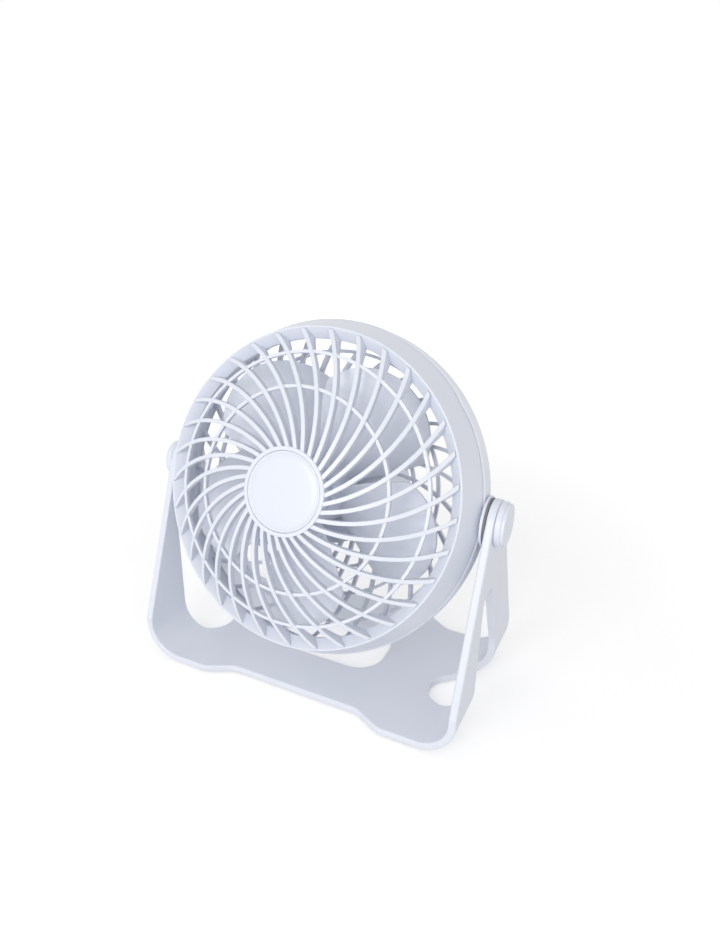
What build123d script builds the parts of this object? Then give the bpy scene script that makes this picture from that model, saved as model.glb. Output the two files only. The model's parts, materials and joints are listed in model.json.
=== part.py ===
from build123d import *
import os
from math import acos, atan2, cos, degrees, radians, sin, sqrt

os.makedirs("parts", exist_ok=True)

# Frame: millimetres, +Z up, the fan blows towards -Y, the origin lies on the table under the fan's middle

# Stand, one bent plate
PLATE = 4.0  # wall of the plate
ARM_CLEARANCE = 2.3  # from the head's ring to an arm
HEAD_CLEARANCE = 16.7  # from the base up to the head's ring
BEND = 20.0  # outer radius of the two bends
ARM_END = 11.6  # radius of the rounded arm ends
FRONT_FEET = 44.5  # front feet, forward of the tilt axis
REAR_FEET = 54.5  # rear feet, behind the tilt axis
LEG_RISE = 4.0  # from the bend up to where the legs start to slant
FRONT_SHIFT = 8.0  # the middle of the front edge lies this much further back than the front feet
REAR_SHIFT = 10.0  # the middle of the rear edge lies this much further back than the rear feet
FRONT_STEP_IN = 38.0  # half width of the set-back front edge
FRONT_STEP_OUT = 52.5  # where the front feet begin
REAR_STEP_IN = 42.0  # half width of the rear edge's middle
REAR_STEP_OUT = 56.5  # where the rear feet begin
STEP_ROUND = 14.0  # rounding of those corners
EDGE_ROUND = 1.0  # rounding of the plate's edges

# Openings in the stand
HOLE_FRONT = 14.0  # front edge of a side hole, forward of the tilt axis
HOLE_REAR = 23.5  # rear edge of a side hole at the bend
HOLE_RISE = 6.0  # from the bend up to where that edge starts to slant
HOLE_DROP = 34.0  # top of a side hole below the tilt axis
HOLE_TOP_WIDTH = 14.0
HOLE_TOP_ROUND = 5.0
HOLE_REAR_ROUND = 18.0  # where it starts to slant
HOLE_END = 13.5  # radius of its round end in the base
HOLE_REACH = 14.0  # from the arm's outside to that end's centre
HOLE_FLARE = 8.0  # from the arm's outside to the flared corner
OPENING_WIDTH = 66.0  # central opening in the base
OPENING_DEPTH = 40.0
OPENING_ROUND = 15.0
OPENING_BACK = 14.0  # its centre behind the tilt axis

# Foot pads
PAD_RADIUS = 6.0
PAD_PROUD = 1.0
PAD_SEAT = 0.8
PAD_SPREAD = 61.0  # pad centres from the middle
PAD_INSET = 9.0  # pad centres from the ends of the feet

# Head
TILT = 18.0  # how far the head looks up
DOME_RADIUS = 170.0  # sphere that the front ribs follow
DOME_APEX = 44.6  # its top, forward of the tilt axis
RING_RADIUS = 86.3  # widest radius of the rear ring
SEAM_STEP = 0.9  # from there in to the front ring's edge at the seam
SEAM_FORWARD = 8.2
SEAM_GAP = 0.8
RING_WALL = 2.2
RING_REAR = 5.0  # rear edge of the rear ring, behind the tilt axis
SPIGOT_DEPTH = 4.0
SPIGOT_CLEARANCE = 0.3

# Front grille
RING_TAPER = 5.4  # the ring narrows by this much from the seam to its lip
LIP_WIDTH = 5.4  # slope inside the lip, which carries the ribs
LIP_DEPTH = 4.6
LIP_WALL = 1.8
LIP_ROUND = 0.6
NOTCH_TURN = 37.0  # where a flat at the seam helps to prise the front off, in degrees
NOTCH_DEPTH = 0.45
NOTCH_WIDTH = 4.0
NOTCH_LENGTH = 24.0
RIB_COUNT = 33
RIB_WIDTH = 2.0
RIB_DEPTH = 3.4
RIB_GUSSET = 7.6  # stretch before the lip in which a rib deepens
RIB_MIDDLE = 50.0
RIB_MIDDLE_TURN = 22.0
RIB_TURN = 38.9
RIB_PHASE = 6.1  # where the first rib leaves the hub, in degrees
HUB_RADIUS = 21.5
HUB_PROUD = 0.6  # hub face in front of the ribs
HUB_DEPTH = 5.0
DISC_RADIUS = 19.4
DISC_DEPTH = 1.6
DISC_CLEARANCE = 0.15
GUARD_WIDTH = 1.6  # thin rings across the ribs
GUARD_DEPTH = 2.2
GUARD_INSET = 0.8

# Rear grille
REAR_RIB_COUNT = 28
REAR_RIB_WIDTH = 1.8
REAR_RIB_DEPTH = 3.0
REAR_RIB_TURN = -38.0
REAR_RIB_MIDDLE_TURN = -20.0
REAR_DOME_RADIUS = 220.0
REAR_DOME_EDGE = 4.2  # rear of the ribs at the ring, behind the tilt axis
REAR_GUARD_RADII = (44.0, 58.0, 72.0)

# Motor cup and its cover
CUP_RADIUS = 30.0
CUP_WALL = 2.0
CUP_FRONT = 8.0  # front face, behind the tilt axis
CUP_LENGTH = 36.0
CUP_FLOOR = 2.5
COVER_LENGTH = 10.0
COVER_ROUND = 5.0
COVER_SPIGOT = 3.0
COVER_CLEARANCE = 0.2

# Pivot
WASHER_RADIUS = 11.4
WASHER_THICKNESS = 1.0
PIVOT_SLACK = 0.2  # free play between head and arm, each side
STUB_RADIUS = 4.5
STUB_CLEARANCE = 0.08
BOSS_RADIUS = 6.8
BOSS_PAD_RADIUS = 12.4  # disc on the boss that the washer lies on
FLANGE_RADIUS = 11.0
FLANGE_THICKNESS = 2.8
CAP_RADIUS = 10.3
CAP_HEIGHT = 1.6
CAP_WALL = 1.0
CAP_ROUND = 0.6
PIVOT_SCREW_RADIUS = 1.5
PIVOT_SCREW_LENGTH = 10.0
PIVOT_SCREW_HEAD = 3.0
PIVOT_SCREW_HEAD_HEIGHT = 1.4

# Motor
CAN_RADIUS = 14.0
CAN_WALL = 1.0
CAN_LENGTH = 22.0
NOSE_RADIUS = 5.0
NOSE_LENGTH = 1.8
END_CAP = 3.0
MAGNET = 2.6
MAGNET_LENGTH = 14.0
MAGNET_SPAN = 120.0  # arc of each magnet, in degrees
POLE_COUNT = 3
WINDING_ROOM = 1.5  # from the commutator to the armature
MOTOR_AIR_GAP = 0.5
SLOT_WIDTH = 2.0
SHAFT_RADIUS = 1.25
SHAFT_CLEARANCE = 0.04
BUSH_RADIUS = 3.0
BUSH_LENGTH = 3.6
COMMUTATOR_RADIUS = 3.2
COMMUTATOR_LENGTH = 3.4
BRUSH_GAP = 0.35
BRUSH_SIZE = 2.0
MOTOR_SCREW_SPACING = 16.0
TERMINAL_SPACING = 18.0
TERMINAL_WIDTH = 2.4
TERMINAL_THICKNESS = 0.5
TERMINAL_LENGTH = 3.0

# Impeller
BLADE_COUNT = 5
BLADE_CLEARANCE = 3.6  # from the lip's inside to the blade tips
BLADE_TIP = 29.0  # radius of a blade's round end
BLADE_PHASE = -17.5  # where the first blade stands, in degrees
BLADE_WALL = 1.6
BLADE_CAMBER = 0.07  # arch of a blade as a share of its chord
BLADE_CHORDS = (24.0, 60.0, 78.0)
BLADE_PITCHES = (46.0, 27.0, 18.0)  # in degrees
BLADE_FORWARD = 8.0  # middle of the blades, forward of the tilt axis
SPINNER_RADIUS = 17.0
SPINNER_WALL = 2.0
SPINNER_FRONT = 25.0
SPINNER_GAP = 2.5  # from the motor cup to the spinner
SLEEVE_RADIUS = 4.0
RETAINER_RADIUS = 6.0
RETAINER_HEIGHT = 3.0
SHAFT_GRIP = 2.0  # shaft end inside the retainer

# Electrics at the back
BOARD_INSET = 10.0  # ends of the board from the cup's outside
BOARD_HEIGHT = 20.0
BOARD = 1.6
BOARD_STANDOFF = 5.4  # from the cover's inside to the board
POST_RADIUS = 2.6
POST_INSET = 4.0  # screw posts from the ends of the board
SOCKET_WIDTH = 7.8
SOCKET_HEIGHT = 4.0
SOCKET_WALL = 0.4
SOCKET_DROP = 5.0  # below the fan's axis
SOCKET_ROUND = 0.9
CORE_WIDTH = 3.9  # tongue in the socket
CORE_HEIGHT = 1.3
CORE_INSET = 0.8
SWITCH_WIDTH = 13.0
SWITCH_HEIGHT = 6.0
SWITCH_DEPTH = 4.0
SWITCH_RISE = 5.0  # above the fan's axis
SWITCH_WELL = 2.0
SLIDER_TRAVEL = 4.0
SLIDER_WIDTH = 5.0
SLIDER_HEIGHT = 4.4
SLIDER_PROUD = 2.4
STEM_WIDTH = 2.4
STEM_HEIGHT = 2.4
SLOT_CLEARANCE = 0.3
LEAD_RADIUS = 0.7

# Small screws
SMALL_SCREW_RADIUS = 1.2
SMALL_SCREW_HEAD = 2.4
SMALL_SCREW_HEAD_HEIGHT = 1.4
SCREW_CLEARANCE = 0.1
COVER_SCREW_INSET = 4.5  # from the cup's outside
COVER_SCREW_LENGTH = 8.0
COVER_BOSS_RADIUS = 3.2
COVER_BOSS_LENGTH = 12.0
BOARD_SCREW_LENGTH = 5.0
MOTOR_SCREW_LENGTH = 5.0
RECESS_WIDTH = 0.7
RECESS_DEPTH = 0.8

# Places that follow from those sizes
SEAM_RADIUS = RING_RADIUS - SEAM_STEP
LIP_RADIUS = SEAM_RADIUS - RING_TAPER
LIP_IN = LIP_RADIUS - LIP_WIDTH
GUARD_RADII = (RIB_MIDDLE, LIP_IN - RIB_GUSSET)
BLADE_RADIUS = LIP_IN - BLADE_CLEARANCE
ARM_IN = RING_RADIUS + ARM_CLEARANCE
ARM_OUT = ARM_IN + PLATE
BASE_TOP = PAD_PROUD + PLATE
BEND_TOP = PAD_PROUD + BEND
PIVOT_HEIGHT = BASE_TOP + HEAD_CLEARANCE + RING_RADIUS
ARM_TOP = PIVOT_HEIGHT + ARM_END
HOLE_TOP = PIVOT_HEIGHT - HOLE_DROP
FRONT_MIDDLE = FRONT_FEET - FRONT_SHIFT
REAR_MIDDLE = REAR_FEET + REAR_SHIFT
PAD_FRONT = FRONT_FEET - PAD_INSET
PAD_REAR = REAR_FEET - PAD_INSET
STOCK_LENGTH = REAR_MIDDLE + PLATE  # half of the bent plate before it is cut to shape
STOCK_WIDTH = ARM_OUT + PLATE
STOCK_TOP = ARM_TOP + PLATE
WASHER_SEAT = ARM_IN - PIVOT_SLACK - WASHER_THICKNESS
FLANGE_SEAT = ARM_OUT + PIVOT_SLACK
SCREW_SEAT = FLANGE_SEAT + FLANGE_THICKNESS - PIVOT_SCREW_HEAD_HEIGHT
CUP_REAR = CUP_FRONT + CUP_LENGTH
COVER_REAR = CUP_REAR + COVER_LENGTH
COVER_INSIDE = COVER_REAR - CUP_WALL
COVER_SCREW_CIRCLE = CUP_RADIUS - COVER_SCREW_INSET
BOARD_WIDTH = 2 * (CUP_RADIUS - BOARD_INSET)
POST_SPACING = BOARD_WIDTH - 2 * POST_INSET
MOTOR_FRONT = CUP_FRONT + CUP_FLOOR
MOTOR_REAR = MOTOR_FRONT + CAN_LENGTH
MOTOR_END = MOTOR_REAR + END_CAP
BOARD_REAR = COVER_INSIDE - BOARD_STANDOFF
BOARD_FRONT = BOARD_REAR - BOARD
SHAFT_FRONT = SPINNER_FRONT + SHAFT_GRIP
ARMATURE_RADIUS = CAN_RADIUS - CAN_WALL - MAGNET - MOTOR_AIR_GAP
MAGNET_REAR = MOTOR_REAR - COMMUTATOR_LENGTH - WINDING_ROOM
SLOT_LENGTH = STEM_WIDTH + SLIDER_TRAVEL + 2 * SLOT_CLEARANCE
SLOT_HEIGHT = STEM_HEIGHT + 2 * SLOT_CLEARANCE
DOME_REACH = DOME_RADIUS - (DOME_RADIUS - DOME_APEX) * cos(radians(TILT))  # ahead of the tilt axis
AXIS_Y = (DOME_REACH - REAR_MIDDLE) / 2  # the origin is midway between the fan's front and rear

# The stand's views, drawn from the table under the tilt axis, and the view along that axis
TABLE = Plane(origin=(0, AXIS_Y, 0))
FRONT = Plane(origin=TABLE.origin, x_dir=(1, 0, 0), z_dir=(0, -1, 0))
SIDE = Plane(origin=TABLE.origin, x_dir=(0, 1, 0), z_dir=(1, 0, 0))
PIVOT = Plane(origin=(0, AXIS_Y, PIVOT_HEIGHT), x_dir=(0, 1, 0), z_dir=(1, 0, 0))

# The head's own frame: X to the right, Y up the grille, Z forward along the fan's axis
HEAD = Plane(
    origin=PIVOT.origin,
    x_dir=(1, 0, 0),
    z_dir=(0, -cos(radians(TILT)), sin(radians(TILT))),
)
FAN_AXIS = Axis(HEAD.origin, HEAD.z_dir)
SECTION = Plane(origin=HEAD.origin, x_dir=HEAD.x_dir, z_dir=-HEAD.y_dir)  # radius across, forward up


def dome(radius):
    """How far forward the front dome lies at a radius."""
    return DOME_APEX - DOME_RADIUS + sqrt(DOME_RADIUS**2 - radius**2)


def rear_dome(radius):
    """How far forward the rear dome lies at a radius: it meets the rear ring and sinks to the cup."""
    rim = sqrt(REAR_DOME_RADIUS**2 - RING_RADIUS**2)
    return rim - REAR_DOME_EDGE - sqrt(REAR_DOME_RADIUS**2 - radius**2)


def ring_wall(forward):
    """Radius of the middle of the front ring's conical wall."""
    slope = (SEAM_RADIUS - LIP_RADIUS) / (dome(LIP_RADIUS) - SEAM_FORWARD)
    return LIP_RADIUS - RING_WALL / 2 + slope * (dome(LIP_RADIUS) - forward)


def polar(radius, turn):
    """Point at a radius, turned anticlockwise from +X."""
    return Vector(radius * cos(radians(turn)), radius * sin(radians(turn)))


def swirl(start, middle, end, middle_turn, turn, width):
    """Face of one rib seen along the fan's axis: a band that sweeps outwards between two radii."""
    with BuildSketch() as band:
        with BuildLine(mode=Mode.PRIVATE) as path:
            ThreePointArc(polar(start, 0), polar(middle, middle_turn), polar(end, turn))
        SlotArc(path.edge(), width)
    return band.sketch


def turned(*points):
    """Adds the solid of revolution of a section, given as radius and forward pairs, about the fan's axis."""
    with BuildSketch(SECTION) as section:
        with BuildLine():
            Polyline(*points, close=True)
        make_face()
    revolve(section.sketch, axis=FAN_AXIS)


def tube(outer, inner, rear, front):
    """Adds a tube, or with no inner radius a rod, along the fan's axis."""
    turned((inner, rear), (outer, rear), (outer, front), (inner, front))


def discs(plane, places, radius):
    """Round faces on a plane."""
    with BuildSketch(plane) as faces:
        with Locations(*places):
            Circle(radius)
    return faces.sketch


def bore(plane, places, radius, depth):
    """Cuts round holes down from a plane."""
    extrude(discs(plane, places, radius), amount=-depth, mode=Mode.SUBTRACT)


def screw(plane, places, radius, length, head_radius, head_height):
    """Adds screws: each head stands on the plane and its shank runs the other way."""
    extrude(discs(plane, places, radius), amount=-length)
    extrude(discs(plane, places, head_radius), amount=head_height)
    with BuildSketch(plane.offset(head_height)) as cross:
        with Locations(*places):
            Rectangle(head_radius, RECESS_WIDTH)
            Rectangle(RECESS_WIDTH, head_radius)
    extrude(cross.sketch, amount=-RECESS_DEPTH, mode=Mode.SUBTRACT)


def save(builder, name):
    """Names a finished piece and writes it."""
    builder.part.label = name
    export_step(builder.part, f"parts/{name}.step")


# Stand
with BuildPart() as stand:
    with BuildSketch(FRONT):
        for half_width, bottom, corner, mode in (
            (ARM_OUT, PAD_PROUD, BEND, Mode.ADD),
            (ARM_IN, BASE_TOP, BEND - PLATE, Mode.SUBTRACT),
        ):
            with BuildLine():
                FilletPolyline(
                    (-half_width, STOCK_TOP),
                    (-half_width, bottom),
                    (half_width, bottom),
                    (half_width, STOCK_TOP),
                    radius=[0, corner, corner, 0],
                    close=True,
                )
            make_face(mode=mode)
    extrude(amount=STOCK_LENGTH, both=True)

    # Seen from the side, straight legs run from the round arm end to the feet
    with BuildSketch(SIDE):
        with Locations((0, PIVOT_HEIGHT)):
            Circle(ARM_END)
        with Locations((-FRONT_FEET, 0)):
            Rectangle(FRONT_FEET + REAR_FEET, BEND_TOP + LEG_RISE, align=(Align.MIN, Align.MIN))
        make_hull()
        Rectangle(2 * STOCK_LENGTH, BEND_TOP, align=(Align.CENTER, Align.MIN))
    extrude(amount=STOCK_WIDTH, both=True, mode=Mode.INTERSECT)

    # Seen from above, the middle of the base is set back from its feet
    with BuildSketch(TABLE):
        right = (
            (FRONT_STEP_IN, -FRONT_MIDDLE),
            (FRONT_STEP_OUT, -FRONT_FEET),
            (STOCK_WIDTH, -FRONT_FEET),
            (STOCK_WIDTH, REAR_FEET),
            (REAR_STEP_OUT, REAR_FEET),
            (REAR_STEP_IN, REAR_MIDDLE),
        )
        left = tuple((-x, y) for x, y in reversed(right))
        corners = [STEP_ROUND, STEP_ROUND, 0, 0, STEP_ROUND, STEP_ROUND]
        with BuildLine():
            FilletPolyline(*right, *left, radius=corners * 2, close=True)
        make_face()
    extrude(amount=STOCK_TOP, mode=Mode.INTERSECT)

    # Central opening, then rounded edges all over
    with BuildSketch(TABLE):
        with Locations((0, OPENING_BACK)):
            RectangleRounded(OPENING_WIDTH, OPENING_DEPTH, OPENING_ROUND)
    extrude(amount=BEND_TOP, mode=Mode.SUBTRACT)
    fillet(stand.edges().filter_by(Axis.Y, reverse=True), EDGE_ROUND)

    # Side holes: a slit up each arm that opens round the bend into the base
    for side in (-1, 1):
        with BuildSketch(SIDE.offset(side * STOCK_WIDTH)):
            with BuildLine():
                FilletPolyline(
                    (-HOLE_FRONT, 0),
                    (-HOLE_FRONT, HOLE_TOP),
                    (HOLE_TOP_WIDTH - HOLE_FRONT, HOLE_TOP),
                    (HOLE_REAR, BEND_TOP + HOLE_RISE),
                    (HOLE_REAR, 0),
                    radius=[0, HOLE_TOP_ROUND, HOLE_TOP_ROUND, HOLE_REAR_ROUND, 0],
                    close=True,
                )
            make_face()
        extrude(amount=-side * (PLATE + HOLE_FLARE), mode=Mode.SUBTRACT)
    with BuildSketch(TABLE):
        centre = Vector(ARM_OUT - HOLE_REACH, HOLE_END - HOLE_FRONT)
        corner = Vector(ARM_OUT - HOLE_FLARE, HOLE_REAR)
        span = corner - centre
        touch = degrees(atan2(span.Y, span.X) + acos(HOLE_END / span.length))
        with BuildLine():
            Polyline(
                centre,
                (centre.X, -HOLE_FRONT),
                (STOCK_WIDTH, -HOLE_FRONT),
                (STOCK_WIDTH, HOLE_REAR),
                corner,
                centre + polar(HOLE_END, touch),
                close=True,
            )
        make_face()
        with Locations(centre):
            Circle(HOLE_END)
        mirror(about=Plane.YZ)
    extrude(amount=BEND_TOP, mode=Mode.SUBTRACT)

    # Pad seats and pivot holes
    pad_places = [(x, y) for x in (-PAD_SPREAD, PAD_SPREAD) for y in (-PAD_FRONT, PAD_REAR)]
    bore(TABLE.offset(PAD_PROUD + PAD_SEAT), pad_places, PAD_RADIUS, PAD_SEAT)
    pivot_hole = discs(PIVOT, [(0, 0)], STUB_RADIUS + STUB_CLEARANCE)
    extrude(pivot_hole, amount=ARM_OUT, both=True, mode=Mode.SUBTRACT)
save(stand, "stand")

# Soft pads under the four feet
with BuildPart() as foot_pads:
    extrude(discs(TABLE, pad_places, PAD_RADIUS), amount=PAD_PROUD + PAD_SEAT)
save(foot_pads, "foot_pads")

# One front rib, in the head's own coordinates: it follows the dome and deepens towards the lip
LIP_FRONT = dome(LIP_RADIUS)
LIP_REAR = LIP_FRONT - LIP_DEPTH
with BuildPart() as front_rib:
    gusset_start = GUARD_RADII[-1]
    band = swirl(HUB_RADIUS, RIB_MIDDLE, LIP_RADIUS, RIB_MIDDLE_TURN, RIB_TURN, RIB_WIDTH)
    extrude(band, amount=DOME_APEX)
    with BuildSketch(Plane.XZ):
        with BuildLine():
            lip = (ring_wall(LIP_FRONT), LIP_FRONT - LIP_ROUND / 2)
            top = ThreePointArc((0, DOME_APEX), (RIB_MIDDLE, dome(RIB_MIDDLE)), lip)
            under = ThreePointArc(
                (0, DOME_APEX - RIB_DEPTH),
                (gusset_start / 2, dome(gusset_start / 2) - RIB_DEPTH),
                (gusset_start, dome(gusset_start) - RIB_DEPTH),
            )
            Polyline(top @ 1, (LIP_IN, LIP_REAR - LIP_WALL / 2), under @ 1)
            Line(under @ 0, top @ 0)
        make_face()
    revolve(axis=Axis.Z, mode=Mode.INTERSECT)

# What is cut off the ring for the flat at its seam, in the head's own coordinates
with BuildPart() as notch:
    notch_end = SEAM_FORWARD + NOTCH_WIDTH
    slope = (ring_wall(notch_end) + RING_WALL / 2 - SEAM_RADIUS + NOTCH_DEPTH) / NOTCH_WIDTH
    with BuildSketch(Plane.XZ):
        with BuildLine():
            Polyline(
                (SEAM_RADIUS - NOTCH_DEPTH - slope * SEAM_GAP, SEAM_FORWARD - SEAM_GAP),
                (SEAM_RADIUS - NOTCH_DEPTH + slope * 2 * NOTCH_WIDTH, SEAM_FORWARD + 2 * NOTCH_WIDTH),
                (RING_RADIUS + RING_WALL, SEAM_FORWARD + 2 * NOTCH_WIDTH),
                (RING_RADIUS + RING_WALL, SEAM_FORWARD - SEAM_GAP),
                close=True,
            )
        make_face()
    extrude(amount=NOTCH_LENGTH / 2, both=True)

# Front grille
HUB_FACE = dome(HUB_RADIUS) + HUB_PROUD
with BuildPart(HEAD) as front_grille:
    # Conical ring from the seam to the lip, which slopes in to the ribs, and a flat at the seam
    fold = LIP_FRONT - 2 * LIP_WALL
    with BuildSketch(SECTION) as ring_section:
        with BuildLine():
            FilletPolyline(
                (LIP_RADIUS, LIP_FRONT),
                (SEAM_RADIUS, SEAM_FORWARD),
                (SEAM_RADIUS - RING_WALL, SEAM_FORWARD),
                (ring_wall(fold) - RING_WALL / 2, fold),
                (LIP_IN, LIP_REAR - LIP_WALL),
                (LIP_IN, LIP_REAR),
                radius=[LIP_ROUND, 0, 0, 0, 0, 0],
                close=True,
            )
        make_face()
    revolve(ring_section.sketch, axis=FAN_AXIS)
    with PolarLocations(0, 1, start_angle=NOTCH_TURN):
        add(notch.part, mode=Mode.SUBTRACT)
    # Thin rings that tie the ribs
    for radius in GUARD_RADII:
        front = dome(radius) - GUARD_INSET
        tube(radius + GUARD_WIDTH / 2, radius - GUARD_WIDTH / 2, front - GUARD_DEPTH, front)
    # Hub with a round seat for the disc
    tube(HUB_RADIUS, 0, HUB_FACE - HUB_DEPTH, HUB_FACE)
    bore(HEAD.offset(HUB_FACE), [(0, 0)], DISC_RADIUS + DISC_CLEARANCE, DISC_DEPTH)
    with PolarLocations(0, RIB_COUNT, start_angle=RIB_PHASE):
        add(front_rib.part)
save(front_grille, "front_grille")

# Plain disc in the hub
with BuildPart() as hub_disc:
    tube(DISC_RADIUS, 0, HUB_FACE - DISC_DEPTH, HUB_FACE)
save(hub_disc, "hub_disc")

# One rear rib, in the head's own coordinates: it turns the other way and follows the rear dome
with BuildPart() as rear_rib:
    rib_out = RING_RADIUS - RING_WALL / 2
    middle = (CUP_RADIUS + rib_out) / 2
    with Locations((0, 0, -CUP_REAR)):
        add(swirl(CUP_RADIUS, middle, rib_out, REAR_RIB_MIDDLE_TURN, REAR_RIB_TURN, REAR_RIB_WIDTH))
    extrude(amount=CUP_REAR)
    with BuildSketch(Plane.XZ):
        with BuildLine():
            for lift in (0, REAR_RIB_DEPTH):
                ThreePointArc(*[(radius, rear_dome(radius) + lift) for radius in (0, middle, rib_out)])
            for radius in (0, rib_out):
                Line((radius, rear_dome(radius)), (radius, rear_dome(radius) + REAR_RIB_DEPTH))
        make_face()
    revolve(axis=Axis.Z, mode=Mode.INTERSECT)

# Rear grille with the motor cup and the pivot bosses
with BuildPart(HEAD) as rear_grille:
    for radius in REAR_GUARD_RADII:
        rear = rear_dome(radius)
        tube(radius + GUARD_WIDTH / 2, radius - GUARD_WIDTH / 2, rear, rear + GUARD_DEPTH)

    # Ring: a rounded outer wall, a step at the seam and a spigot inside the front ring
    seam = SEAM_FORWARD - SEAM_GAP
    spigot = ring_wall(seam + SPIGOT_DEPTH) - RING_WALL / 2 - SPIGOT_CLEARANCE
    ring_in = RING_RADIUS - RING_WALL
    shoulder = seam - RING_WALL
    bevel = RING_RADIUS - SEAM_RADIUS
    turned(
        (spigot - RING_WALL, shoulder),
        (spigot - RING_WALL, seam + SPIGOT_DEPTH),
        (spigot, seam + SPIGOT_DEPTH),
        (spigot, seam),
        (SEAM_RADIUS, seam),
        (RING_RADIUS, seam - bevel),
        (RING_RADIUS, bevel - RING_REAR),
        (RING_RADIUS - bevel, -RING_REAR),
        (ring_in - bevel, -RING_REAR),
        (ring_in, bevel - RING_REAR),
        (ring_in, shoulder),
    )
    # Cup that holds the motor, open to the rear
    turned(
        (NOSE_RADIUS + SCREW_CLEARANCE, -CUP_FRONT),
        (CUP_RADIUS, -CUP_FRONT),
        (CUP_RADIUS, -CUP_REAR),
        (CUP_RADIUS - CUP_WALL, -CUP_REAR),
        (CUP_RADIUS - CUP_WALL, -MOTOR_FRONT),
        (NOSE_RADIUS + SCREW_CLEARANCE, -MOTOR_FRONT),
    )
    cover_places = [(0, COVER_SCREW_CIRCLE), (0, -COVER_SCREW_CIRCLE)]
    extrude(discs(HEAD.offset(-CUP_REAR), cover_places, COVER_BOSS_RADIUS), amount=COVER_BOSS_LENGTH)
    screw_bore = SMALL_SCREW_RADIUS + SCREW_CLEARANCE
    bore(HEAD.offset(COVER_SCREW_LENGTH - CUP_REAR), cover_places, screw_bore, COVER_SCREW_LENGTH)
    motor_places = [(-MOTOR_SCREW_SPACING / 2, 0), (MOTOR_SCREW_SPACING / 2, 0)]
    bore(HEAD.offset(-CUP_FRONT), motor_places, screw_bore, CUP_FLOOR)

    # Pivot bosses and the stubs that turn in the arms
    for side in (-1, 1):
        for radius, inner, outer in (
            (BOSS_PAD_RADIUS, SEAM_RADIUS + SEAM_GAP, WASHER_SEAT),
            (BOSS_RADIUS, RING_RADIUS - RING_WALL, WASHER_SEAT),
            (STUB_RADIUS, RING_RADIUS - RING_WALL, FLANGE_SEAT),
        ):
            extrude(discs(PIVOT.offset(side * inner), [(0, 0)], radius), amount=side * (outer - inner))
        pivot_bore = discs(PIVOT.offset(side * FLANGE_SEAT), [(0, 0)], PIVOT_SCREW_RADIUS + SCREW_CLEARANCE)
        extrude(pivot_bore, amount=-side * PIVOT_SCREW_LENGTH, mode=Mode.SUBTRACT)
    with PolarLocations(0, REAR_RIB_COUNT):
        add(rear_rib.part)
save(rear_grille, "rear_grille")

# Pivot pieces on the two sides
for side, name in ((-1, "left"), (1, "right")):
    with BuildPart() as friction_washer:
        with BuildSketch(PIVOT.offset(side * WASHER_SEAT)):
            Circle(WASHER_RADIUS)
            Circle(STUB_RADIUS + STUB_CLEARANCE, mode=Mode.SUBTRACT)
        extrude(amount=side * WASHER_THICKNESS)
    save(friction_washer, f"friction_washer_{name}")

    with BuildPart() as pivot_flange:
        with BuildSketch(PIVOT.offset(side * FLANGE_SEAT)):
            Circle(FLANGE_RADIUS)
            Circle(PIVOT_SCREW_RADIUS + SCREW_CLEARANCE, mode=Mode.SUBTRACT)
        extrude(amount=side * FLANGE_THICKNESS)
        outer_face = pivot_flange.faces().sort_by(Axis.X)[-1 if side > 0 else 0]
        fillet(outer_face.outer_wire().edges(), CAP_ROUND)
        sink = discs(PIVOT.offset(side * SCREW_SEAT), [(0, 0)], PIVOT_SCREW_HEAD + SCREW_CLEARANCE)
        extrude(sink, amount=side * PIVOT_SCREW_HEAD_HEIGHT, mode=Mode.SUBTRACT)
    save(pivot_flange, f"pivot_flange_{name}")

    with BuildPart() as pivot_cap:
        cap_seat = PIVOT.offset(side * (FLANGE_SEAT + FLANGE_THICKNESS))
        extrude(discs(cap_seat, [(0, 0)], CAP_RADIUS), amount=side * CAP_HEIGHT)
        outer_face = pivot_cap.faces().sort_by(Axis.X)[-1 if side > 0 else 0]
        fillet(outer_face.outer_wire().edges(), CAP_ROUND)
        hollow = discs(cap_seat, [(0, 0)], CAP_RADIUS - CAP_WALL)
        extrude(hollow, amount=side * (CAP_HEIGHT - CAP_WALL), mode=Mode.SUBTRACT)
    save(pivot_cap, f"pivot_cap_{name}")

with BuildPart() as pivot_screws:
    for side in (-1, 1):
        flange_face = Plane(
            origin=(side * SCREW_SEAT, AXIS_Y, PIVOT_HEIGHT),
            x_dir=(0, 1, 0),
            z_dir=(side, 0, 0),
        )
        screw(
            flange_face,
            [(0, 0)],
            PIVOT_SCREW_RADIUS,
            PIVOT_SCREW_LENGTH,
            PIVOT_SCREW_HEAD,
            PIVOT_SCREW_HEAD_HEIGHT,
        )
save(pivot_screws, "pivot_screws")

# Motor can: a drawn cup whose nose holds the front bush
with BuildPart() as motor_can:
    turned(
        (BUSH_RADIUS, NOSE_LENGTH - MOTOR_FRONT),
        (NOSE_RADIUS, NOSE_LENGTH - MOTOR_FRONT),
        (NOSE_RADIUS, -MOTOR_FRONT),
        (CAN_RADIUS, -MOTOR_FRONT),
        (CAN_RADIUS, -MOTOR_REAR),
        (CAN_RADIUS - CAN_WALL, -MOTOR_REAR),
        (CAN_RADIUS - CAN_WALL, -MOTOR_FRONT - CAN_WALL),
        (BUSH_RADIUS, -MOTOR_FRONT - CAN_WALL),
    )
    bore(HEAD.offset(-MOTOR_FRONT), motor_places, screw_bore, CAN_WALL)
save(motor_can, "motor_can")

with BuildPart() as motor_end_cap:
    tube(CAN_RADIUS, BUSH_RADIUS, -MOTOR_END, -MOTOR_REAR)
    terminal_places = [(-TERMINAL_SPACING / 2, 0), (TERMINAL_SPACING / 2, 0)]
    with BuildSketch(HEAD.offset(-MOTOR_END)):
        with Locations(*terminal_places):
            Rectangle(TERMINAL_WIDTH, TERMINAL_THICKNESS)
    extrude(amount=END_CAP, mode=Mode.SUBTRACT)
save(motor_end_cap, "motor_end_cap")

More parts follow.
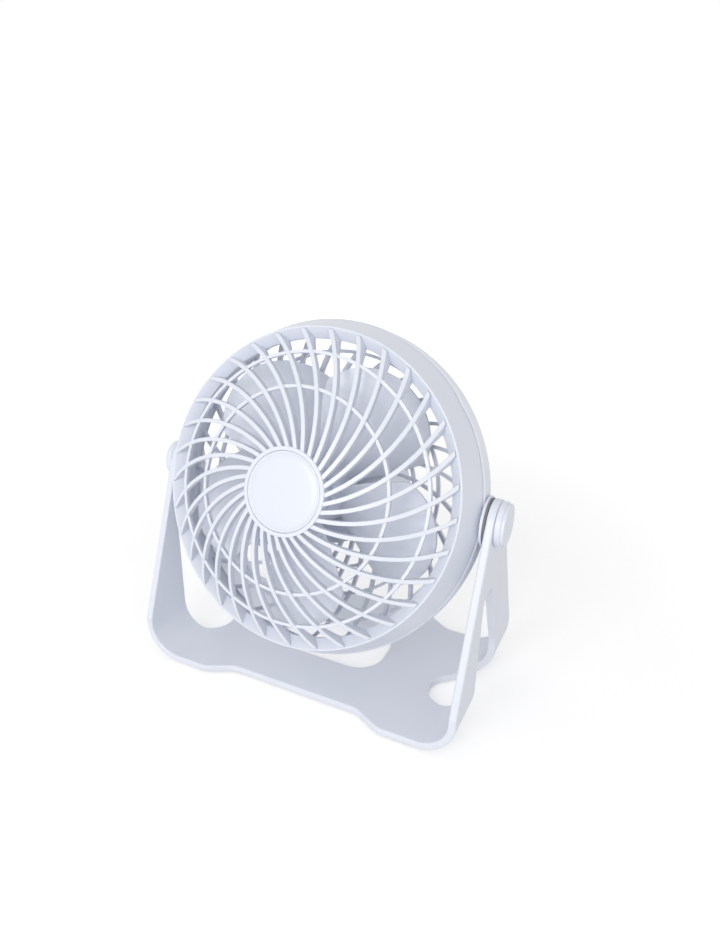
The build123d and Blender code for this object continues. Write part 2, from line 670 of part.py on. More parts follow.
with BuildPart() as motor_terminals:
    with BuildSketch(HEAD.offset(-MOTOR_REAR)):
        with Locations(*terminal_places):
            Rectangle(TERMINAL_WIDTH, TERMINAL_THICKNESS)
    extrude(amount=-END_CAP - TERMINAL_LENGTH)
save(motor_terminals, "motor_terminals")

with BuildPart() as motor_bushes:
    bush_bore = SHAFT_RADIUS + SHAFT_CLEARANCE
    bush_front = NOSE_LENGTH - MOTOR_FRONT
    tube(BUSH_RADIUS, bush_bore, bush_front - BUSH_LENGTH, bush_front)
    tube(BUSH_RADIUS, bush_bore, -MOTOR_END, -MOTOR_REAR)
save(motor_bushes, "motor_bushes")

with BuildPart() as motor_magnets:
    with BuildSketch(HEAD.offset(-MAGNET_REAR)):
        for middle_turn in (90, 270):
            start = middle_turn - MAGNET_SPAN / 2
            with BuildLine():
                outer = CenterArc((0, 0), CAN_RADIUS - CAN_WALL, start, MAGNET_SPAN)
                inner = CenterArc((0, 0), CAN_RADIUS - CAN_WALL - MAGNET, start, MAGNET_SPAN)
                Line(outer @ 0, inner @ 0)
                Line(outer @ 1, inner @ 1)
            make_face()
    extrude(amount=MAGNET_LENGTH)
save(motor_magnets, "motor_magnets")

with BuildPart() as motor_brushes:
    with BuildSketch(HEAD.offset(-MOTOR_REAR)):
        reach = TERMINAL_SPACING / 2 + TERMINAL_WIDTH / 2
        start = COMMUTATOR_RADIUS + BRUSH_GAP
        with Locations(((reach + start) / 2, 0), (-(reach + start) / 2, 0)):
            Rectangle(reach - start, BRUSH_SIZE)
    extrude(amount=BRUSH_SIZE)
save(motor_brushes, "motor_brushes")

# What turns with the shaft
with BuildPart() as motor_shaft:
    tube(SHAFT_RADIUS, 0, -MOTOR_END, SHAFT_FRONT)
save(motor_shaft, "motor_shaft")

with BuildPart() as motor_armature:
    with BuildSketch(HEAD.offset(-MAGNET_REAR)):
        Circle(ARMATURE_RADIUS)
        with PolarLocations(ARMATURE_RADIUS, POLE_COUNT):
            Rectangle(ARMATURE_RADIUS, SLOT_WIDTH, mode=Mode.SUBTRACT)
        Circle(SHAFT_RADIUS, mode=Mode.SUBTRACT)
    extrude(amount=MAGNET_LENGTH)
save(motor_armature, "motor_armature")

with BuildPart() as motor_commutator:
    tube(COMMUTATOR_RADIUS, SHAFT_RADIUS, BRUSH_GAP - MOTOR_REAR, BRUSH_GAP + COMMUTATOR_LENGTH - MOTOR_REAR)
save(motor_commutator, "motor_commutator")

with BuildPart() as motor_screws:
    screw(
        HEAD.offset(-CUP_FRONT),
        motor_places,
        SMALL_SCREW_RADIUS,
        MOTOR_SCREW_LENGTH,
        SMALL_SCREW_HEAD,
        SMALL_SCREW_HEAD_HEIGHT,
    )
save(motor_screws, "motor_screws")

# One blade, lofted outwards from the spinner in the head's own coordinates
with BuildPart() as blade:
    stations = (SPINNER_RADIUS - SPINNER_WALL, (SPINNER_RADIUS + BLADE_RADIUS) / 2, BLADE_RADIUS)
    for station, chord, pitch in zip(stations, BLADE_CHORDS, BLADE_PITCHES):
        with BuildSketch(Plane.YZ.offset(station)):
            with BuildLine(mode=Mode.PRIVATE) as arch:
                along = polar(chord / 2, pitch)
                crown = polar(chord * BLADE_CAMBER, pitch + 90)
                middle = Vector(0, BLADE_FORWARD)
                ThreePointArc(middle - along, middle + crown, middle + along)
            SlotArc(arch.edge(), BLADE_WALL)
    loft()
    with BuildSketch(Plane.XY.offset(-CUP_REAR)):
        Circle(SPINNER_RADIUS)
        with Locations((BLADE_RADIUS - BLADE_TIP, 0)):
            Circle(BLADE_TIP)
        make_hull()
    extrude(amount=CUP_REAR + DOME_APEX, mode=Mode.INTERSECT)

with BuildPart(HEAD) as impeller:
    with PolarLocations(0, BLADE_COUNT, start_angle=BLADE_PHASE):
        add(blade.part)
    spinner_rear = SPINNER_GAP - CUP_FRONT
    turned(
        (SPINNER_RADIUS - SPINNER_WALL, spinner_rear),
        (SPINNER_RADIUS, spinner_rear),
        (SPINNER_RADIUS, SPINNER_FRONT),
        (SHAFT_RADIUS, SPINNER_FRONT),
        (SHAFT_RADIUS, spinner_rear),
        (SLEEVE_RADIUS, spinner_rear),
        (SLEEVE_RADIUS, SPINNER_FRONT - SPINNER_WALL),
        (SPINNER_RADIUS - SPINNER_WALL, SPINNER_FRONT - SPINNER_WALL),
    )
save(impeller, "impeller")

with BuildPart() as impeller_retainer:
    turned(
        (0, SPINNER_FRONT + RETAINER_HEIGHT),
        (RETAINER_RADIUS, SPINNER_FRONT + RETAINER_HEIGHT),
        (RETAINER_RADIUS, SPINNER_FRONT),
        (SHAFT_RADIUS, SPINNER_FRONT),
        (SHAFT_RADIUS, SHAFT_FRONT),
        (0, SHAFT_FRONT),
    )
save(impeller_retainer, "impeller_retainer")

# Cover behind the motor, with the socket's window and the switch's slot
with BuildPart() as motor_cover:
    with BuildSketch(SECTION):
        with BuildLine():
            FilletPolyline(
                (0, -COVER_REAR),
                (CUP_RADIUS, -COVER_REAR),
                (CUP_RADIUS, -CUP_REAR),
                (CUP_RADIUS - CUP_WALL - COVER_CLEARANCE, -CUP_REAR),
                (CUP_RADIUS - CUP_WALL - COVER_CLEARANCE, COVER_SPIGOT - CUP_REAR),
                (CUP_RADIUS - 2 * CUP_WALL - COVER_CLEARANCE, COVER_SPIGOT - CUP_REAR),
                (CUP_RADIUS - 2 * CUP_WALL - COVER_CLEARANCE, -COVER_INSIDE),
                (0, -COVER_INSIDE),
                radius=[0, COVER_ROUND, 0, 0, 0, 0, 0, 0],
                close=True,
            )
        make_face()
    revolve(axis=FAN_AXIS)
    spigot_end = HEAD.offset(COVER_SPIGOT - CUP_REAR)
    bore(spigot_end, cover_places, COVER_BOSS_RADIUS + COVER_CLEARANCE, COVER_SPIGOT)
    inside = HEAD.offset(-COVER_INSIDE)
    extrude(discs(inside, cover_places, COVER_BOSS_RADIUS), amount=COVER_INSIDE - CUP_REAR)
    post_places = [(-POST_SPACING / 2, 0), (POST_SPACING / 2, 0)]
    extrude(discs(inside, post_places, POST_RADIUS), amount=BOARD_STANDOFF)
    bore(HEAD.offset(-BOARD_REAR), post_places, screw_bore, BOARD_STANDOFF)
    bore(HEAD.offset(-CUP_REAR), cover_places, screw_bore, COVER_LENGTH)
    head_seat = HEAD.offset(SMALL_SCREW_HEAD_HEIGHT - COVER_REAR)
    bore(head_seat, cover_places, SMALL_SCREW_HEAD + SCREW_CLEARANCE, SMALL_SCREW_HEAD_HEIGHT)
    with BuildSketch(inside):
        with Locations((0, -SOCKET_DROP)):
            RectangleRounded(
                SOCKET_WIDTH + 2 * SLOT_CLEARANCE,
                SOCKET_HEIGHT + 2 * SLOT_CLEARANCE,
                SOCKET_ROUND + SLOT_CLEARANCE,
            )
        with Locations((0, SWITCH_RISE)):
            Rectangle(SLOT_LENGTH, SLOT_HEIGHT)
    extrude(amount=-CUP_WALL, mode=Mode.SUBTRACT)
save(motor_cover, "motor_cover")

with BuildPart() as cover_screws:
    screw(
        Plane(origin=head_seat.origin, x_dir=HEAD.x_dir, z_dir=-HEAD.z_dir),
        cover_places,
        SMALL_SCREW_RADIUS,
        COVER_LENGTH - SMALL_SCREW_HEAD_HEIGHT + COVER_SCREW_LENGTH,
        SMALL_SCREW_HEAD,
        SMALL_SCREW_HEAD_HEIGHT,
    )
save(cover_screws, "cover_screws")

# Circuit board with its socket and switch
with BuildPart() as circuit_board:
    with BuildSketch(HEAD.offset(-BOARD_REAR)):
        Rectangle(BOARD_WIDTH, BOARD_HEIGHT)
        with Locations(*post_places):
            Circle(SMALL_SCREW_RADIUS + SCREW_CLEARANCE, mode=Mode.SUBTRACT)
    extrude(amount=BOARD)
save(circuit_board, "circuit_board")

with BuildPart() as board_screws:
    screw(
        HEAD.offset(-BOARD_FRONT),
        post_places,
        SMALL_SCREW_RADIUS,
        BOARD_SCREW_LENGTH,
        SMALL_SCREW_HEAD,
        SMALL_SCREW_HEAD_HEIGHT,
    )
save(board_screws, "board_screws")

with BuildPart() as power_socket:
    with BuildSketch(HEAD.offset(-BOARD_REAR)):
        with Locations((0, -SOCKET_DROP)):
            RectangleRounded(SOCKET_WIDTH, SOCKET_HEIGHT, SOCKET_ROUND)
    extrude(amount=BOARD_REAR - COVER_REAR)
    with BuildSketch(HEAD.offset(-BOARD_REAR - SOCKET_WALL)):
        with Locations((0, -SOCKET_DROP)):
            RectangleRounded(
                SOCKET_WIDTH - 2 * SOCKET_WALL, SOCKET_HEIGHT - 2 * SOCKET_WALL, SOCKET_ROUND - SOCKET_WALL
            )
    extrude(amount=BOARD_REAR - COVER_REAR, mode=Mode.SUBTRACT)
save(power_socket, "power_socket")

with BuildPart() as socket_core:
    with BuildSketch(HEAD.offset(-BOARD_REAR - SOCKET_WALL)):
        with Locations((0, -SOCKET_DROP)):
            Rectangle(CORE_WIDTH, CORE_HEIGHT)
    extrude(amount=CORE_INSET + SOCKET_WALL + BOARD_REAR - COVER_REAR)
save(socket_core, "socket_core")

with BuildPart() as switch_body:
    with BuildSketch(HEAD.offset(-BOARD_REAR)):
        with Locations((0, SWITCH_RISE)):
            Rectangle(SWITCH_WIDTH, SWITCH_HEIGHT)
    extrude(amount=-SWITCH_DEPTH)
    with BuildSketch(HEAD.offset(-BOARD_REAR - SWITCH_DEPTH)):
        with Locations((0, SWITCH_RISE)):
            Rectangle(SLOT_LENGTH, SLOT_HEIGHT)
    extrude(amount=SWITCH_WELL, mode=Mode.SUBTRACT)
save(switch_body, "switch_body")

# Slider, shown at its off end
with BuildPart() as switch_slider:
    off_end = -SLIDER_TRAVEL / 2
    with BuildSketch(HEAD.offset(SLOT_CLEARANCE - BOARD_REAR - SWITCH_DEPTH)):
        with Locations((off_end, SWITCH_RISE)):
            Rectangle(STEM_WIDTH, STEM_HEIGHT)
    extrude(amount=BOARD_REAR + SWITCH_DEPTH - COVER_REAR - SLIDER_PROUD - SLOT_CLEARANCE)
    with BuildSketch(HEAD.offset(-COVER_REAR - SLOT_CLEARANCE)):
        with Locations((off_end, SWITCH_RISE)):
            Rectangle(SLIDER_WIDTH, SLIDER_HEIGHT)
    extrude(amount=SLOT_CLEARANCE - SLIDER_PROUD)
save(switch_slider, "switch_slider")

# Two stiff leads from the board to the motor's terminals
with BuildPart() as motor_leads:
    lead_length = BOARD_FRONT - MOTOR_END - TERMINAL_LENGTH
    extrude(discs(HEAD.offset(-BOARD_FRONT), terminal_places, LEAD_RADIUS), amount=lead_length)
save(motor_leads, "motor_leads")
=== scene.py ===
import json
from math import cos, radians, sin

import bpy
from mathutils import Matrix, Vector


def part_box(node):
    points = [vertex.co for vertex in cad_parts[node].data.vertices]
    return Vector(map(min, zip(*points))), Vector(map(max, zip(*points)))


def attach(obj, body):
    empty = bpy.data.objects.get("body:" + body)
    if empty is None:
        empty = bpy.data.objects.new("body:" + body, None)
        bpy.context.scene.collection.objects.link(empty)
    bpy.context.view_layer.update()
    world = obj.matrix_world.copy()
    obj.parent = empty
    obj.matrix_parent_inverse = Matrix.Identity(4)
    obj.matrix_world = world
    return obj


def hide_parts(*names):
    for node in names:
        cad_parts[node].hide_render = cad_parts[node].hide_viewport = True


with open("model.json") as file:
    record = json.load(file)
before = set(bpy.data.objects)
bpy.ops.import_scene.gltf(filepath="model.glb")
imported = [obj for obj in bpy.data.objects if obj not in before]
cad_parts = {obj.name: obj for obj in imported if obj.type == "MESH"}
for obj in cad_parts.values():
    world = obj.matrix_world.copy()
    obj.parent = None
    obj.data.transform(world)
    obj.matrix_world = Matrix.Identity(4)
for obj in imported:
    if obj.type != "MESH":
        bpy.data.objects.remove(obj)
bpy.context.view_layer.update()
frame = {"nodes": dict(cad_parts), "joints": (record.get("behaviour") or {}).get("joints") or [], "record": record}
nodes = frame["nodes"]
MM = 0.001

# Where the tilt axis runs, and how far the head leans back
TILT = radians(18)
TILT_AXIS = Vector(frame["joints"][0]["pos_m"])

# Sizes of the head's small pieces, in millimetres: forward is along the fan's axis
DISC_RADIUS = 19.4
DISC_DEPTH = 1.6
DISC_FACE = 43.83
DISC_EDGE = 0.35
DISC_RIM = 0.5
GROOVE_WIDTH = 0.25
GROOVE_DEPTH = 0.18
CROWN_RINGS = 4
CROWN_STEP = 3.2
CROWN_RISE = 0.09
COVER_REAR = 54.0
SWITCH_RISE = 5.0
SOCKET_DROP = 5.0
SLIDER_PROUD = 2.4
SLIDER_OFF = -2.0
SLIDER_TRAVEL = 4.0
RIDGE_WIDTH = 0.7
RIDGE_LENGTH = 3.6
RIDGE_DEPTH = 0.8
RIDGE_PITCH = 1.4
MARK_RISE = 4.6
MARK_DEPTH = 0.6
DOT_RADIUS = 0.55
DOT_ACROSS = 2.2
DOT_UP = 1.7
OFF_RADIUS = 0.8
OFF_SHIFT = 0.2
FRAME_WIDTH = 1.2
FRAME_DEPTH = 0.6
FRAME_PROUD = 0.1
FRAME_CORNER = 1.6

# Sizes of the foot pads, in millimetres
PAD_RADIUS = 6.0
PAD_DEPTH = 1.8
PAD_EDGE = 0.35
GRIP_LAND = 1.0
GRIP_FLOOR = 0.7
GRIP_SLOPE = 0.25
GRIP_DEPTH = 0.3


class Wire:
    """One socket of a finish's node tree: arithmetic on it adds Math nodes."""

    def __init__(self, finish, socket):
        self.finish = finish
        self.socket = socket

    def combine(self, operation, first, second):
        return self.finish.node("ShaderNodeMath", {"operation": operation}, {0: first, 1: second})

    def __add__(self, other):
        return self.combine("ADD", self, other)

    def __radd__(self, other):
        return self.combine("ADD", other, self)

    def __sub__(self, other):
        return self.combine("SUBTRACT", self, other)

    def __rsub__(self, other):
        return self.combine("SUBTRACT", other, self)

    def __mul__(self, other):
        return self.combine("MULTIPLY", self, other)

    def __rmul__(self, other):
        return self.combine("MULTIPLY", other, self)


class Nodes:
    """A node tree, and the ways to add to it."""

    def __init__(self, tree):
        self.tree = tree

    def node(self, kind, settings, sockets, output=0):
        made = self.tree.nodes.new(kind)
        for name, value in settings.items():
            setattr(made, name, value)
        for name, value in sockets.items():
            self.feed(made.inputs[name], value)
        return Wire(self, made.outputs[output])

    def feed(self, socket, value):
        if isinstance(value, Wire):
            self.tree.links.new(value.socket, socket)
        else:
            socket.default_value = value

    def seen_directly(self):
        """1 for what the camera sees, also in a mirror or through glass, and 0 for light on the object."""
        camera, mirror, glass = [
            self.node("ShaderNodeLightPath", {}, {}, f"Is {kind} Ray")
            for kind in ("Camera", "Glossy", "Transmission")
        ]
        return self.node("ShaderNodeMath", {"operation": "MINIMUM"}, {0: camera + mirror + glass, 1: 1.0})


class Finish(Nodes):
    """A material made of nodes round one Principled shader."""

    def __init__(self, name, **constants):
        self.material = bpy.data.materials.new(name)
        self.material.use_nodes = True
        super().__init__(self.material.node_tree)
        self.shader = self.tree.nodes["Principled BSDF"]
        self.place = self.node("ShaderNodeTexCoord", {}, {}, "Object")
        for socket, value in constants.items():
            self.shade(socket.replace("_", " "), value)

    def shade(self, socket, value):
        self.feed(self.shader.inputs[socket], value)

    def noise(self, size, detail=2.0, place=None):
        """Soft noise whose patches are about this many millimetres across."""
        return self.node(
            "ShaderNodeTexNoise",
            {},
            {"Vector": place or self.place, "Scale": 1 / (size * MM), "Detail": detail},
        )

    def blend(self, mask, first, second):
        """Colour between two colours."""
        return self.node(
            "ShaderNodeMix", {"data_type": "RGBA"}, {0: mask, 6: (*first, 1), 7: (*second, 1)}, 2
        )

    def relief(self, height, depth, edge=0.0):
        """Bumps of a depth in millimetres, over edges rounded by a radius in millimetres."""
        sockets = {"Height": height, "Distance": depth * MM}
        if edge:
            sockets["Normal"] = self.node("ShaderNodeBevel", {"samples": 6}, {"Radius": edge * MM})
        self.shade("Normal", self.node("ShaderNodeBump", {}, sockets))


def moulded(name, colour, roughness, grain=0.35, depth=0.012, edge=0.0, **constants):
    """Moulded plastic: a fine spark-eroded grain, a slow ripple and slightly uneven gloss and colour."""
    finish = Finish(name, **constants)
    cloud = finish.noise(38, 3)
    ripple = finish.noise(4.5)
    fine = finish.noise(grain, 1)
    darker = tuple(0.965 * c for c in colour)
    finish.shade("Base Color", finish.blend(cloud, darker, colour))
    finish.shade("Roughness", roughness - 0.05 + 0.06 * cloud + 0.04 * fine)
    finish.relief(0.7 * ripple + 0.3 * fine, depth, edge)
    return finish.material


def rubber(name, colour):
    """Soft rubber: dull, with a dusty bloom."""
    finish = Finish(name)
    bloom = finish.noise(9, 4)
    fine = finish.noise(0.5, 2)
    dusty = tuple(c + 0.05 for c in colour)
    finish.shade("Base Color", finish.blend(bloom, colour, dusty))
    finish.shade("Roughness", 0.72 + 0.14 * bloom)
    finish.relief(fine, 0.03, 0.2)
    return finish.material


def metal(name, colour, roughness, stretch=(1, 1, 1)):
    """Drawn or plated metal with fine streaks along the stretched direction."""
    finish = Finish(name, Metallic=1.0)
    along = finish.node("ShaderNodeMapping", {}, {"Vector": finish.place, "Scale": stretch})
    streak = finish.noise(1.2, 3, along)
    stain = finish.noise(12, 3)
    darker = tuple(0.8 * c for c in colour)
    finish.shade("Base Color", finish.blend(stain, darker, colour))
    finish.shade("Roughness", roughness - 0.06 + 0.12 * streak + 0.08 * stain)
    finish.relief(streak, 0.01, 0.1)
    return finish.material


WHITE = (0.803, 0.835, 0.92)
finishes = {
    "stand_plastic": moulded("stand_white", WHITE, 0.36, edge=0.3),
    "grille_plastic": moulded("grille_white", WHITE, 0.32, edge=0.4),
    "disc_plastic": moulded("disc_white", WHITE, 0.30, edge=0.3),
    "impeller_plastic": moulded("impeller_white", (0.80, 0.828, 0.905), 0.26, edge=0.4),
    "cover_plastic": moulded("cover_white", WHITE, 0.46, depth=0.03, edge=0.4),
    "pivot_plastic": moulded("pivot_white", WHITE, 0.32, edge=0.3),
    "soft_rubber": rubber("washer_rubber", (0.20, 0.20, 0.21)),
    "pad_rubber": rubber("pad_rubber", (0.42, 0.42, 0.43)),
    "screw_steel": metal("screw_steel", (0.62, 0.62, 0.64), 0.34),
    "can_steel": metal("can_steel", (0.66, 0.67, 0.68), 0.36, (8, 1, 8)),
    "core_steel": metal("core_steel", (0.26, 0.24, 0.22), 0.5, (1, 8, 1)),
    "ferrite": rubber("ferrite", (0.06, 0.06, 0.065)),
    "contact_brass": metal("contact_brass", (0.80, 0.56, 0.27), 0.3),
    "carbon": rubber("carbon", (0.03, 0.03, 0.03)),
    "black_plastic": moulded("black_plastic", (0.028, 0.028, 0.03), 0.42, edge=0.2),
    "board": moulded("board_green", (0.03, 0.17, 0.07), 0.3),
    "lead_sleeve": rubber("lead_sleeve", (0.05, 0.05, 0.05)),
}
for row in frame["record"]["subparts"]:
    node = nodes[row["node"]]
    node.data.materials.clear()
    node.data.materials.append(finishes[row["material_slot"]])
    for face in node.data.polygons:
        face.material_index = 0


def in_head(x, up, forward):
    """A place in the head: to the right, up the grille and forward along the fan's axis, in millimetres."""
    depth = sin(TILT) * up - cos(TILT) * forward
    height = cos(TILT) * up + sin(TILT) * forward
    return TILT_AXIS + MM * Vector((x, depth, height))


# One millimetre to the right and one up the grille
RIGHT = in_head(1, 0, 0) - in_head(0, 0, 0)
UP = in_head(0, 1, 0) - in_head(0, 0, 0)

# Turns a piece modelled upright so that its top faces forward, or backward
FORWARD = (radians(90) - TILT, 0, 0)
BACKWARD = (radians(90) - TILT, radians(180), 0)


def begin(name):
    """Names the primitive just added and opens it for shaping."""
    piece = bpy.context.object
    piece.name = name
    bpy.ops.object.transform_apply(location=False, rotation=False, scale=True)
    bpy.ops.object.mode_set(mode="EDIT")
    return piece


def pick(piece, kind, test):
    """Selects the faces or edges whose middle passes the test, in the piece's own millimetres."""
    bpy.ops.object.mode_set(mode="OBJECT")
    mesh = piece.data
    for group in (mesh.vertices, mesh.edges, mesh.polygons):
        group.foreach_set("select", [False] * len(group))
    if kind == "FACE":
        for face in mesh.polygons:
            face.select = test(face.center / MM, face.normal)
    else:
        for edge in mesh.edges:
            ends = [mesh.vertices[i].co / MM for i in edge.vertices]
            edge.select = test((ends[0] + ends[1]) / 2, ends[1] - ends[0])
    bpy.ops.object.mode_set(mode="EDIT")
    bpy.ops.mesh.select_mode(type=kind)


def inset(width, depth=0.0):
    bpy.ops.mesh.inset(thickness=width * MM, depth=depth * MM)


def rounded(piece, width):
    """Rounds every sharp edge of a piece."""
    bpy.ops.object.mode_set(mode="OBJECT")
    rounding = piece.modifiers.new("rounding", "BEVEL")
    rounding.width = width * MM
    rounding.segments = 2
    rounding.limit_method = "ANGLE"
    rounding.angle_limit = radians(40)
    bpy.ops.object.modifier_apply(modifier="rounding")


def close(piece, body, slot, *replaced):
    """Smooths a shaped piece, puts its place into its mesh and hangs it on its body."""
    bpy.ops.object.mode_set(mode="OBJECT")
    bpy.ops.object.transform_apply(location=True, rotation=True, scale=True)
    bpy.ops.object.shade_smooth_by_angle(angle=radians(40))
    piece.data.materials.clear()
    piece.data.materials.append(finishes[slot])
    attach(piece, body)
    if replaced:
        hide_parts(*replaced)


def again(piece, name, move):
    """A copy with its own mesh, moved by millimetres in the frame."""
    bpy.ops.object.select_all(action="DESELECT")
    copy = piece.copy()
    copy.data = piece.data.copy()
    copy.name = name
    bpy.context.scene.collection.objects.link(copy)
    bpy.context.view_layer.objects.active = copy
    copy.select_set(True)
    bpy.ops.object.mode_set(mode="EDIT")
    bpy.ops.mesh.select_all(action="SELECT")
    bpy.ops.transform.translate(value=move * MM)
    bpy.ops.object.mode_set(mode="OBJECT")
    return copy


def softened(name, width, body):
    """A moulding as it leaves the mould: the node's own shape with every sharp edge rounded."""
    bpy.ops.object.select_all(action="DESELECT")
    piece = nodes[name].copy()
    piece.data = nodes[name].data.copy()
    piece.name = name + "_moulding"
    bpy.context.scene.collection.objects.link(piece)
    bpy.context.view_layer.objects.active = piece
    piece.select_set(True)
    bpy.ops.object.mode_set(mode="EDIT")
    bpy.ops.mesh.select_all(action="SELECT")
    bpy.ops.mesh.remove_doubles(threshold=0.001 * MM)
    bpy.ops.mesh.dissolve_limited(angle_limit=radians(0.4))
    rounded(piece, width)
    bpy.ops.object.shade_smooth_by_angle(angle=radians(50))
    piece.modifiers.new("flats", "WEIGHTED_NORMAL").keep_sharp = True
    bpy.ops.object.modifier_apply(modifier="flats")
    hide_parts(name)
    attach(piece, body)


def hub_disc():
    """The disc pressed into the hub: a rolled rim, a fine groove and a crowned middle."""
    bpy.ops.object.select_all(action="DESELECT")
    bpy.ops.mesh.primitive_cylinder_add(
        vertices=128, radius=DISC_RADIUS * MM, depth=DISC_DEPTH * MM,
        location=in_head(0, 0, DISC_FACE - DISC_DEPTH / 2), rotation=FORWARD,
    )
    piece = begin("hub_disc_crowned")
    pick(piece, "EDGE", lambda middle, along: middle.z > 0.7 and abs(along.z) < 0.1)
    bpy.ops.mesh.bevel(offset=DISC_EDGE * MM, segments=3)
    pick(piece, "FACE", lambda centre, normal: normal.z > 0.999)
    inset(DISC_RIM)
    inset(GROOVE_WIDTH, -GROOVE_DEPTH)
    inset(GROOVE_WIDTH, GROOVE_DEPTH)
    for ring in range(CROWN_RINGS):
        inset(CROWN_STEP, CROWN_RISE * (CROWN_RINGS - ring) / CROWN_RINGS)
    close(piece, "head", "disc_plastic", "hub_disc")


def foot_pads():
    """Four soft pads with a rounded rim and two grip rings on the underside."""
    low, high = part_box("foot_pads")
    x, y = low[0] + PAD_RADIUS * MM, low[1] + PAD_RADIUS * MM
    bpy.ops.object.select_all(action="DESELECT")
    bpy.ops.mesh.primitive_cylinder_add(
        vertices=64, radius=PAD_RADIUS * MM, depth=PAD_DEPTH * MM, location=(x, y, PAD_DEPTH / 2 * MM)
    )
    piece = begin("foot_pad_front_left")
    pick(piece, "EDGE", lambda middle, along: middle.z < -0.8 and abs(along.z) < 0.1)
    bpy.ops.mesh.bevel(offset=PAD_EDGE * MM, segments=3)
    pick(piece, "FACE", lambda centre, normal: normal.z < -0.999)
    for ring in range(2):
        inset(GRIP_LAND)
        inset(GRIP_SLOPE, -GRIP_DEPTH)
        inset(GRIP_FLOOR)
        inset(GRIP_SLOPE, GRIP_DEPTH)
    close(piece, "stand", "pad_rubber", "foot_pads")
    across = (high[0] - low[0]) / MM - 2 * PAD_RADIUS
    along = (high[1] - low[1]) / MM - 2 * PAD_RADIUS
    again(piece, "foot_pad_front_right", Vector((across, 0, 0)))
    again(piece, "foot_pad_rear_left", Vector((0, along, 0)))
    again(piece, "foot_pad_rear_right", Vector((across, along, 0)))


def slider_ridges():
    """Three thumb ridges on the end of the speed slider."""
    bpy.ops.object.select_all(action="DESELECT")
    bpy.ops.mesh.primitive_cube_add(
        size=MM, scale=(RIDGE_WIDTH, RIDGE_LENGTH, RIDGE_DEPTH), rotation=BACKWARD,
        location=in_head(SLIDER_OFF - RIDGE_PITCH, SWITCH_RISE, -COVER_REAR - SLIDER_PROUD),
    )
    piece = begin("slider_ridge_1")
    pick(piece, "EDGE", lambda middle, along: middle.z > 0.3)
    bpy.ops.mesh.bevel(offset=0.3 * MM, segments=4)
    close(piece, "slider", "black_plastic")
    again(piece, "slider_ridge_2", RIDGE_PITCH / MM * RIGHT)
    again(piece, "slider_ridge_3", 2 * RIDGE_PITCH / MM * RIGHT)


def speed_marks():
    """Raised marks over the slider's three stops: a ring for off, one dot, two dots."""
    bpy.ops.object.select_all(action="DESELECT")
    bpy.ops.mesh.primitive_cylinder_add(
        vertices=32, radius=DOT_RADIUS * MM, depth=MARK_DEPTH * MM, rotation=BACKWARD,
        location=in_head(SLIDER_OFF + SLIDER_TRAVEL / 2, SWITCH_RISE + MARK_RISE, -COVER_REAR),
    )
    dot = begin("speed_mark_low")
    pick(dot, "EDGE", lambda middle, along: middle.z > 0.25 and abs(along.z) < 0.1)
    bpy.ops.mesh.bevel(offset=0.2 * MM, segments=3)
    close(dot, "head", "cover_plastic")
    again(dot, "speed_mark_high_1", DOT_ACROSS / MM * RIGHT)
    again(dot, "speed_mark_high_2", (DOT_ACROSS * RIGHT + DOT_UP * UP) / MM)
    bpy.ops.object.select_all(action="DESELECT")
    bpy.ops.mesh.primitive_cylinder_add(
        vertices=32, radius=OFF_RADIUS * MM, depth=MARK_DEPTH * MM, rotation=BACKWARD,
        location=in_head(SLIDER_OFF - OFF_SHIFT, SWITCH_RISE + MARK_RISE, -COVER_REAR),
    )
    ring = begin("speed_mark_off")
    pick(ring, "FACE", lambda centre, normal: normal.z > 0.9)
    inset(0.15)
    inset(0.2)
    inset(0.1, -0.28)
    close(ring, "head", "cover_plastic")


def cover_frame(name, up, width, height):
    """A raised frame round an opening in the rear cover."""
    bpy.ops.object.select_all(action="DESELECT")
    bpy.ops.mesh.primitive_cube_add(
        size=MM, scale=(width + 2 * FRAME_WIDTH, height + 2 * FRAME_WIDTH, FRAME_DEPTH),
        location=in_head(0, up, -COVER_REAR - FRAME_PROUD), rotation=BACKWARD,
    )
    piece = begin(name)
    pick(piece, "EDGE", lambda middle, along: abs(along.z) > 0.5)
    bpy.ops.mesh.bevel(offset=FRAME_CORNER * MM, segments=6)
    pick(piece, "FACE", lambda centre, normal: abs(normal.z) > 0.9)
    inset(FRAME_WIDTH)
    bpy.ops.mesh.bridge_edge_loops()
    rounded(piece, 0.15)
    close(piece, "head", "cover_plastic")


softened("front_grille", 0.45, "head")
softened("rear_grille", 0.3, "head")
softened("stand", 0.5, "stand")
softened("impeller", 0.35, "rotor")
softened("motor_cover", 0.35, "head")
hub_disc()
foot_pads()
slider_ridges()
speed_marks()
cover_frame("switch_frame", SWITCH_RISE, 9.8, 3.4)
cover_frame("socket_frame", -SOCKET_DROP, 8.4, 4.6)


# How white the floor is by itself, near the fan and far off, and how far that is in metres
FLOOR_NEAR = 0.42
FLOOR_FAR = 0.70
NEAR_REACH = 0.2
FAR_REACH = 1.0

# Light from all round, at the level of the floor and from above
AROUND = 0.82
ABOVE = 0.54

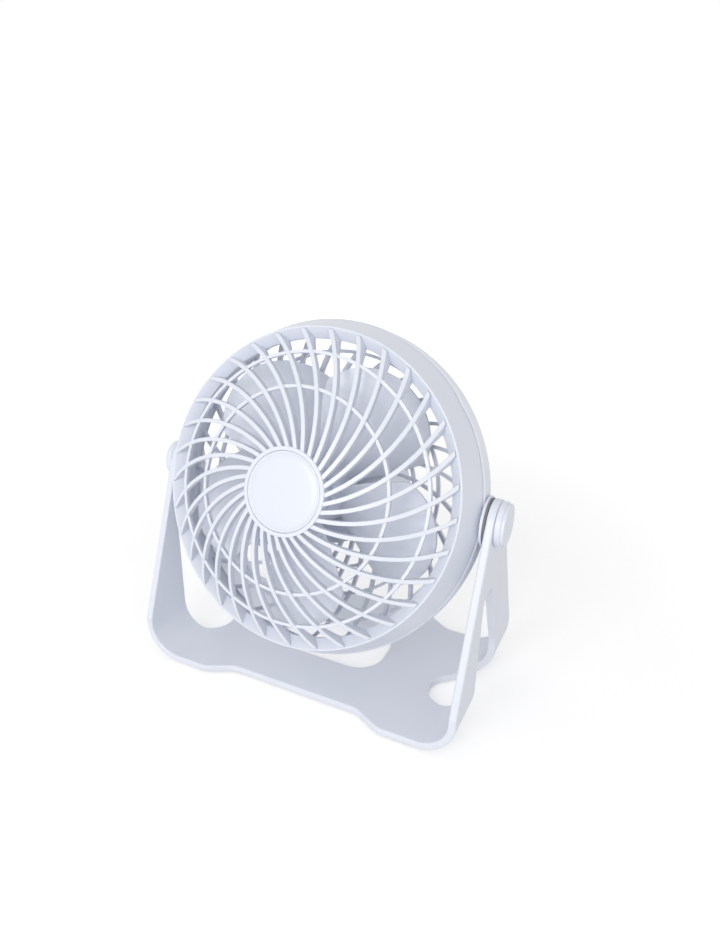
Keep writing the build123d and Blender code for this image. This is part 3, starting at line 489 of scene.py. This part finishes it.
floor_finish = Finish("floor_white", Roughness=0.9, Emission_Strength=1.0)
dust = floor_finish.noise(60)
floor_finish.shade("Base Color", floor_finish.blend(dust, (0.74, 0.74, 0.74), (0.75, 0.75, 0.75)))
reach = floor_finish.node("ShaderNodeVectorMath", {"operation": "LENGTH"}, {0: floor_finish.place}, "Value")
away = floor_finish.node(
    "ShaderNodeMapRange", {}, {"Value": reach, "From Min": NEAR_REACH, "From Max": FAR_REACH}
)
glow = floor_finish.seen_directly() * (FLOOR_NEAR + (FLOOR_FAR - FLOOR_NEAR) * away)
floor_finish.shade("Emission Color", floor_finish.blend(glow, (0, 0, 0), (1, 1, 1)))
bpy.ops.object.select_all(action="DESELECT")
bpy.ops.mesh.primitive_plane_add(size=12)
floor = bpy.context.object
floor.name = "floor"
floor.data.materials.append(floor_finish.material)

world = bpy.data.worlds.new("studio")
bpy.context.scene.world = world
world.use_nodes = True
sky = Nodes(world.node_tree)
backdrop = sky.tree.nodes["Background"]
sky.feed(backdrop.inputs["Color"], (1, 1, 1, 1))
direction = sky.node("ShaderNodeTexCoord", {}, {}, "Generated")
height = sky.node("ShaderNodeSeparateXYZ", {}, {"Vector": direction}, "Z")
ambient = sky.node("ShaderNodeMapRange", {}, {"Value": height, "To Min": AROUND, "To Max": ABOVE})
direct = sky.seen_directly()
sky.feed(backdrop.inputs["Strength"], direct + (1 - direct) * ambient)


def lamp(name, place, size, watts):
    """A square soft box that faces the fan."""
    bpy.ops.object.light_add(type="AREA", location=place)
    light = bpy.context.object
    light.name = name
    light.data.size = size
    light.data.energy = watts
    light.rotation_euler = (TILT_AXIS - Vector(place)).to_track_quat("-Z", "Y").to_euler()


lamp("front", (-0.05, -1.2, 0.55), 0.7, 6.2)
lamp("right", (0.9, -0.8, 0.5), 0.7, 0.8)

# Camera: distance, turn and height angle about the tilt axis, and the optical centre in pixels
CAMERA_DISTANCE = 363.46 * MM
CAMERA_TURN = radians(27.74)
CAMERA_HEIGHT = radians(23.03)
AIM_DROP = 1.47 * MM
FOCAL_PIXELS = 692.6
OPTICAL_CENTRE = (324.1, 490.2)
PICTURE = (720, 928)

eye = TILT_AXIS + CAMERA_DISTANCE * Vector(
    (
        sin(CAMERA_TURN) * cos(CAMERA_HEIGHT),
        -cos(CAMERA_TURN) * cos(CAMERA_HEIGHT),
        sin(CAMERA_HEIGHT),
    )
)
aim = TILT_AXIS - Vector((0, 0, AIM_DROP))
bpy.ops.object.camera_add(location=eye)
camera = bpy.context.object
camera.rotation_euler = (aim - eye).to_track_quat("-Z", "Y").to_euler()
camera.data.sensor_fit = "VERTICAL"
camera.data.sensor_height = 36
camera.data.lens = FOCAL_PIXELS / PICTURE[1] * camera.data.sensor_height
camera.data.shift_x = (PICTURE[0] / 2 - OPTICAL_CENTRE[0]) / PICTURE[1]
camera.data.shift_y = (OPTICAL_CENTRE[1] - PICTURE[1] / 2) / PICTURE[1]
camera.data.clip_start = 0.01
bpy.context.scene.camera = camera
bpy.context.scene.view_settings.view_transform = "Standard"
